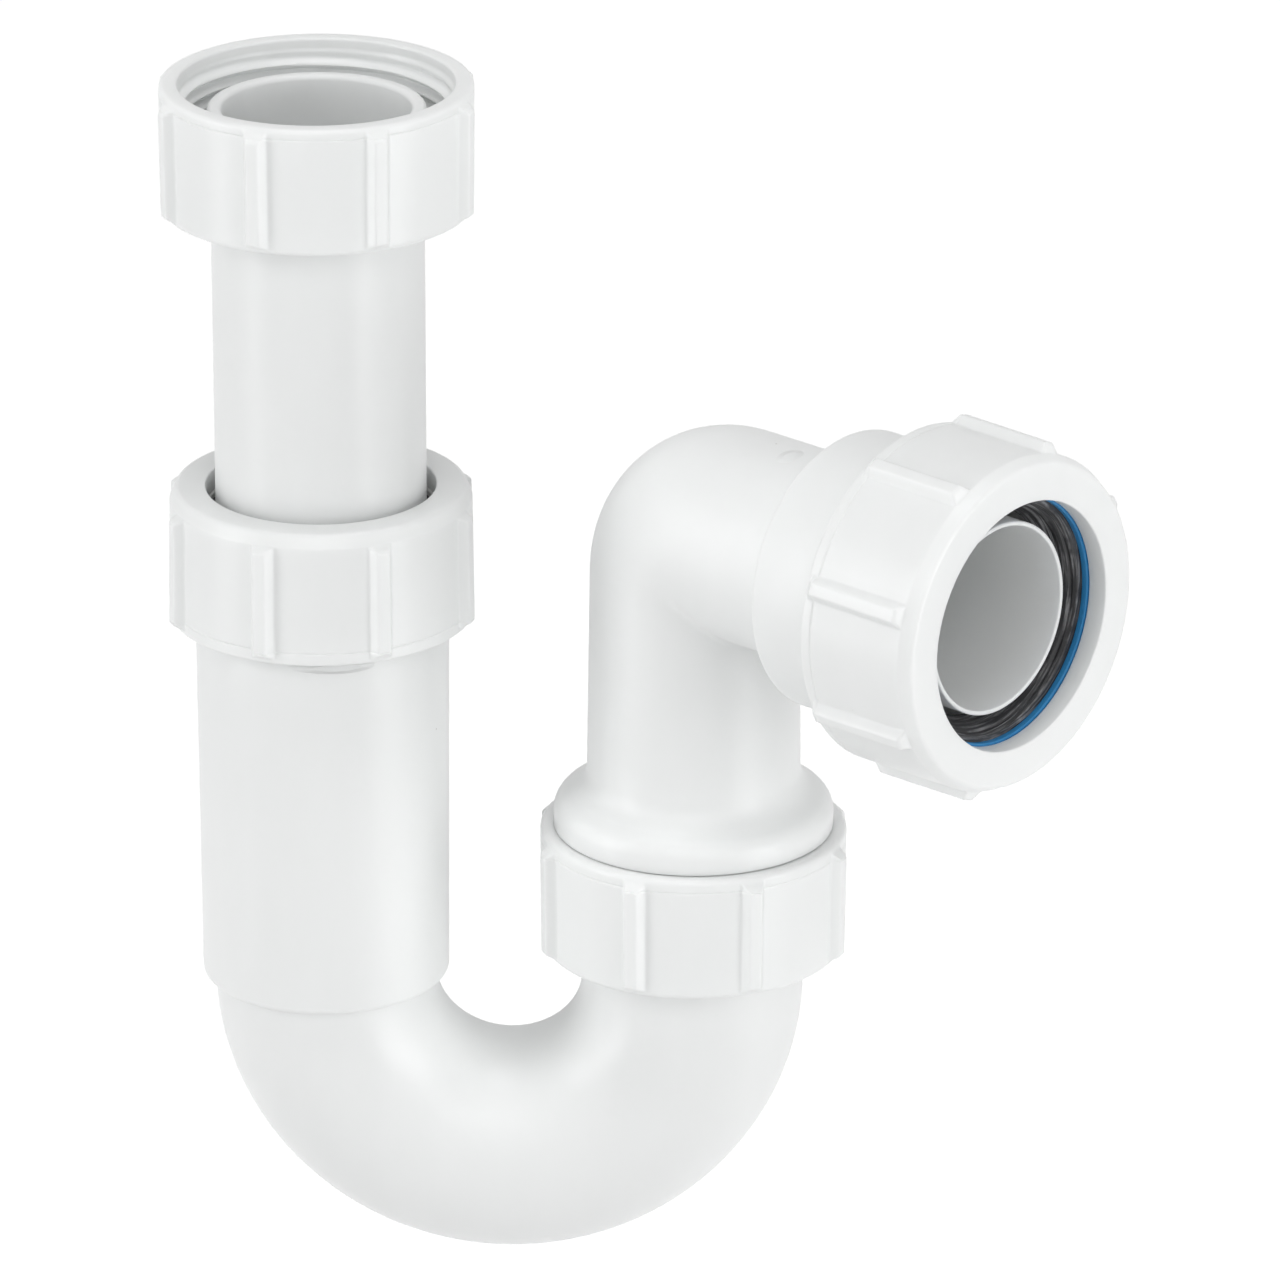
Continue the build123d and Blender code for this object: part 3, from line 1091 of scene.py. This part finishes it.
@dataclass(frozen=True)
class OutletElbow:
    """The swivelling elbow, from its threaded foot to the socket for the waste pipe."""

    node: str = "outlet_elbow"
    body: str = "elbow"
    bore_r: float = 16.4
    tube_r: float = 18.6
    foot_tube_r: float = 19.1
    bend_r: float = 10.0
    crease_r: float = 1.3
    crease_blend: float = 3.0
    straight: float = 21.0
    bend_steps: int = 28
    root_r: float = 22.4
    flange_r: float = 25.0
    flange_edge: float = 4.5
    flange_slope: float = 3.3
    flange_lip: float = 1.0
    lip_drop: float = 0.24
    flange_crown_r: float = 3.5
    flange_neck_r: float = 5.0
    foot_thread: float = 12.8
    outlet_root_r: float = 25.6
    outlet_collar_r: float = 25.0
    outlet_collar_length: float = 14.0
    outlet_floor: float = 7.0
    pipe_socket_r: float = 21.9
    pipe_depth: float = 21.0
    stop_wall: float = 0.8
    stop_proud: float = 2.6
    stop_edge: float = 0.28
    collar_root: float = 0.8
    collar_edge: float = 0.9
    thread_inset: float = 0.5
    thread_runout: float = 0.6

    def neck_z(self, low: float) -> float:
        """The height of the flange's neck over a foot at that height."""
        return low + self.foot_thread + self.flange_edge + self.flange_slope

    def riser_r(self, low: float) -> float:
        """The tapered tube's radius where the tight bend starts, over a foot at that height."""
        taper = (self.straight - self.bend_r) / (-self.bend_r - self.neck_z(low))
        return self.tube_r + (self.foot_tube_r - self.tube_r) * taper

    def foot(self, low: float) -> Shell:
        """The threaded foot, the domed flange and the tapered tube.

        Args:
            low: The foot's height, from the arm's axis.

        Returns:
            The skin, open at its top.
        """
        flange = low + self.foot_thread
        corners = [
            Corner(self.bore_r, -self.straight, SHARP),
            Corner(self.bore_r, low),
            Corner(self.root_r, low),
            Corner(self.root_r, flange),
            Corner(self.flange_r - self.flange_lip, flange - self.lip_drop, SOFT_EDGE / 2),
            Corner(self.flange_r, flange - self.lip_drop, SOFT_EDGE / 2),
            Corner(self.flange_r, flange + self.flange_edge, self.flange_crown_r),
            Corner(self.foot_tube_r, self.neck_z(low), self.flange_neck_r),
            Corner(self.riser_r(low), -self.straight, SHARP),
        ]
        thread = Thread(self.root_r, low + self.thread_inset, flange - self.thread_runout)
        return threaded_tube(corners, thread)

    def socket(self, mouth: float) -> Shell:
        """The arm's end, its collar, threaded socket, pipe pocket and stop tube, standing upright.

        Args:
            mouth: How far out along the arm the socket's mouth is.

        Returns:
            The skin, open at its foot.
        """
        stop = mouth - SEAT_DEPTH - self.pipe_depth
        collar = stop - self.outlet_floor
        thread_start = collar + self.outlet_collar_length
        stop_r = self.bore_r + self.stop_wall
        tip = mouth + self.stop_proud
        corners = [
            Corner(self.tube_r, self.straight, SHARP),
            Corner(self.tube_r, collar, self.collar_root),
            Corner(self.outlet_collar_r, collar, self.collar_edge),
            Corner(self.outlet_collar_r, thread_start, SOFT_EDGE / 2),
            Corner(self.outlet_root_r, thread_start, SOFT_EDGE / 2),
            Corner(self.outlet_root_r, mouth),
            Corner(self.outlet_root_r - SEAT_LAND, mouth),
            Corner(self.pipe_socket_r, mouth - SEAT_DEPTH),
            Corner(self.pipe_socket_r, stop),
            Corner(stop_r, stop),
            Corner(stop_r, tip, self.stop_edge),
            Corner(self.bore_r, tip, self.stop_edge),
            Corner(self.bore_r, self.straight, SHARP),
        ]
        thread = Thread(self.outlet_root_r, thread_start + self.thread_runout, mouth - self.thread_inset)
        return threaded_tube(corners, thread)

    def bend_point(self, x: float, y: float, step: int) -> Vector:
        """A point of the tight bend, given its place in the tube's section and its step round."""
        rho = soft_max(self.bend_r - x, self.crease_r, self.crease_blend)
        centre = x + rho
        angle = math.pi / 2 * step / self.bend_steps
        return Vector((centre - rho * math.cos(angle), y, -centre + rho * math.sin(angle)))

    def bend(self, start_r: float, radius: float) -> Shell:
        """One skin of the tight bend, whose inner side is nearly a mitre.

        Args:
            start_r: The riser's radius where it is still round.
            radius: The radius in the bend and on the arm.

        Returns:
            The skin, open at both ends.
        """
        shell = Shell()
        bm = shell.bm
        bmesh.ops.create_circle(bm, radius=1.0, segments=TUBE_COLUMNS)
        edges = bm.edges[:]
        last = self.bend_steps + 2
        for _ in range(last):
            grown = bmesh.ops.extrude_edge_only(bm, edges=edges)["geom"]
            edges = [item for item in grown if isinstance(item, bmesh.types.BMEdge)]
            fresh = [item for item in grown if isinstance(item, bmesh.types.BMVert)]
            bmesh.ops.translate(bm, vec=(0, 0, 1), verts=fresh)
        for vertex in bm.verts:
            ring = round(vertex.co.z)
            x, y = vertex.co.x * radius, vertex.co.y * radius
            if ring == 0:
                vertex.co = (vertex.co.x * start_r, vertex.co.y * start_r, -self.straight)
            elif ring == last:
                vertex.co = (self.straight, y, -x)
            else:
                vertex.co = self.bend_point(x, y, ring - 1)
        return shell

    def make(self) -> None:
        """Builds and dresses the elbow."""
        low = LEG_AXLE.span(self.node)[0] - ARM_AXLE.place.to_translation().z
        tip = ARM_AXLE.span(self.node)[1]
        lay = Matrix.Rotation(math.pi / 2, 4, "Y")
        shell = self.foot(low)
        shell.add(self.socket(tip - self.stop_proud), lay)
        shell.add(self.bend(self.riser_r(low), self.tube_r))
        shell.add(self.bend(self.bore_r, self.bore_r))
        place = ARM_AXLE.place @ lay.inverted()
        dress(shell, self.node, self.body, ELBOW_FINISH, place)


@dataclass(frozen=True)
class Softbox:
    """A square-cornered studio lamp, aimed at the trap."""

    name: str
    centre: Triple
    width: float
    height: float
    power: float

    def make(self, target: Vector) -> None:
        """Hangs the lamp and turns it to the target."""
        lamp = bpy.data.lights.new(self.name, "AREA")
        lamp.shape = "RECTANGLE"
        lamp.size = self.width
        lamp.size_y = self.height
        lamp.energy = self.power
        holder = new_object(self.name, lamp)
        holder.location = self.centre
        holder.rotation_euler = (target - Vector(self.centre)).to_track_quat("-Z", "Y").to_euler()


@dataclass(frozen=True)
class Studio:
    """The white studio: floor, soft lamps, surrounding light and camera."""

    ambient: float = 0.44
    ambient_behind: float = 0.22
    lamps: tuple[Softbox, ...] = (
        Softbox("left_softbox", (-1.18, -0.46, 0.12), width=0.4, height=1.3, power=6.6),
        Softbox("right_softbox", (1.15, -0.66, -0.22), width=0.6, height=1.3, power=9.0),
        Softbox("top_softbox", (0.05, -0.10, 1.35), width=0.9, height=0.7, power=5.6),
        Softbox("front_softbox", (0.10, -1.25, 0.80), width=1.0, height=0.6, power=3.2),
    )
    floor_depth: float = 0.34
    floor_size: float = 9.0
    floor_colour: Colour = (0.82, 0.82, 0.82, 1.0)
    floor_lift: float = 0.66
    camera_place: Triple = (95.61, -1419.37, 478.22)
    camera_heading: float = 0.0364
    camera_pitch: float = 0.3870
    camera_lens: float = 242.68
    far: float = 50.0
    principal: tuple[float, float] = (570.0, 690.0)
    picture: float = 1280.0

    def seen(self, bench: Bench) -> Signal:
        """1 for rays from the camera, off gloss and through glass, and 0 for the others."""
        names = ("Is Camera Ray", "Is Glossy Ray", "Is Transmission Ray")
        camera, gloss, glass = (bench.node("ShaderNodeLightPath", output=name) for name in names)
        return camera.most(gloss).most(glass)

    def world(self) -> None:
        """White all round where it is seen, and paler light from the front than from behind."""
        world = bpy.data.worlds.new("studio")
        bpy.context.scene.world = world
        bench = Bench(world)
        way = bench.node("ShaderNodeTexCoord", output="Generated")
        depth = bench.node("ShaderNodeSeparateXYZ", None, {0: way}, output="Y")
        behind = bench.ramp(depth * 0.5 + 0.5, 0.45, 0.75)
        ambient = self.ambient + behind * (self.ambient_behind - self.ambient)
        strength = ambient.most(self.seen(bench))
        sky = bench.node("ShaderNodeBackground", None, {"Color": (1, 1, 1, 1), "Strength": strength})
        bench.node("ShaderNodeOutputWorld", None, {"Surface": sky})

    def floor(self) -> None:
        """A pale floor well below the hanging trap, which keeps its shadow."""
        bm = bmesh.new()
        low = cad_low.z - self.floor_depth
        place = Matrix.Translation(((cad_low.x + cad_high.x) / 2, 0.0, low))
        bmesh.ops.create_grid(bm, x_segments=8, y_segments=8, size=self.floor_size / 2, matrix=place)
        mesh = bpy.data.meshes.new("floor")
        bm.to_mesh(mesh)
        bm.free()
        floor = new_object("floor", mesh)
        made = bpy.data.materials.new("pale_floor")
        bench = Bench(made)
        paint = bench.node("ShaderNodeBsdfDiffuse", None, {"Color": self.floor_colour})
        glow = bench.node("ShaderNodeEmission", None, {"Strength": self.seen(bench) * self.floor_lift})
        both = bench.node("ShaderNodeAddShader", None, {0: paint, 1: glow})
        bench.node("ShaderNodeOutputMaterial", None, {"Surface": both})
        mesh.materials.append(made)

    def camera(self) -> None:
        """The photograph's view, fitted to the trap's measured edges."""
        lens = bpy.data.cameras.new("camera")
        lens.lens = self.camera_lens
        lens.shift_x = 0.5 - self.principal[0] / self.picture
        lens.shift_y = self.principal[1] / self.picture - 0.5
        lens.clip_end = self.far
        camera = new_object("camera", lens)
        camera.location = Vector(self.camera_place) * MM
        camera.rotation_euler = (math.pi / 2 - self.camera_pitch, 0.0, self.camera_heading)
        bpy.context.scene.camera = camera

    def make(self) -> None:
        """Sets up the whole studio."""
        bpy.context.scene.view_settings.view_transform = "Standard"
        self.world()
        self.floor()
        self.camera()
        middle = (cad_low + cad_high) / 2
        for lamp in self.lamps:
            lamp.make(middle)


def main() -> None:
    """Builds and dresses every piece of the trap, then sets up the studio."""
    logging.basicConfig(level=logging.INFO, format="%(message)s")
    union = {"bore_r": 24.13, "hole_r": 20.25, "wall": 3.25, "lip": 4.4}
    press = {"wall": 2.85, "lip": 3.9, "parting": 2.2}
    for piece in (
        UnionNut("inlet_nut", "inlet_nut", INLET_AXLE, turn=3.5, parting=1.9, thread_phase=0.3, **union),
        UnionNut("swivel_nut", "swivel_nut", LEG_AXLE, turn=1.3, parting=2.3, **union),
        PressNut("socket_nut", "socket_nut", INLET_AXLE, turn=3.5, bore_r=24.13, hole_r=20.35, **press),
        PressNut("outlet_nut", "outlet_nut", ARM_AXLE, turn=4.5, bore_r=27.33, hole_r=22.2, **press),
        InletTube("inlet_tube", "inlet_tube", INLET_AXLE, TUBE_FINISH),
        TrapBody(),
        OutletElbow(),
        Washer("inlet_washer", "inlet_tube", INLET_AXLE, WHITE_FINISH, 20.0, 22.2),
        Washer("swivel_washer", "swivel_washer", LEG_AXLE, WHITE_FINISH, 17.6, 22.2),
        Washer("socket_slip_washer", "socket_slip_washer", INLET_AXLE, WHITE_FINISH, 19.95, 22.4),
        Washer("outlet_slip_washer", "outlet_slip_washer", ARM_AXLE, BLUE_FINISH, 21.8, 25.6),
        WedgeSeal("socket_seal", "trap", INLET_AXLE, INLET_SEAL_FINISH, 18.75, 22.4, 19.83),
        WedgeSeal("outlet_seal", "elbow", ARM_AXLE, OUTLET_SEAL_FINISH, 20.7, 25.6, 22.77, taper=2.4),
    ):
        piece.make()
    Studio().make()


if __name__ == "__main__":
    main()
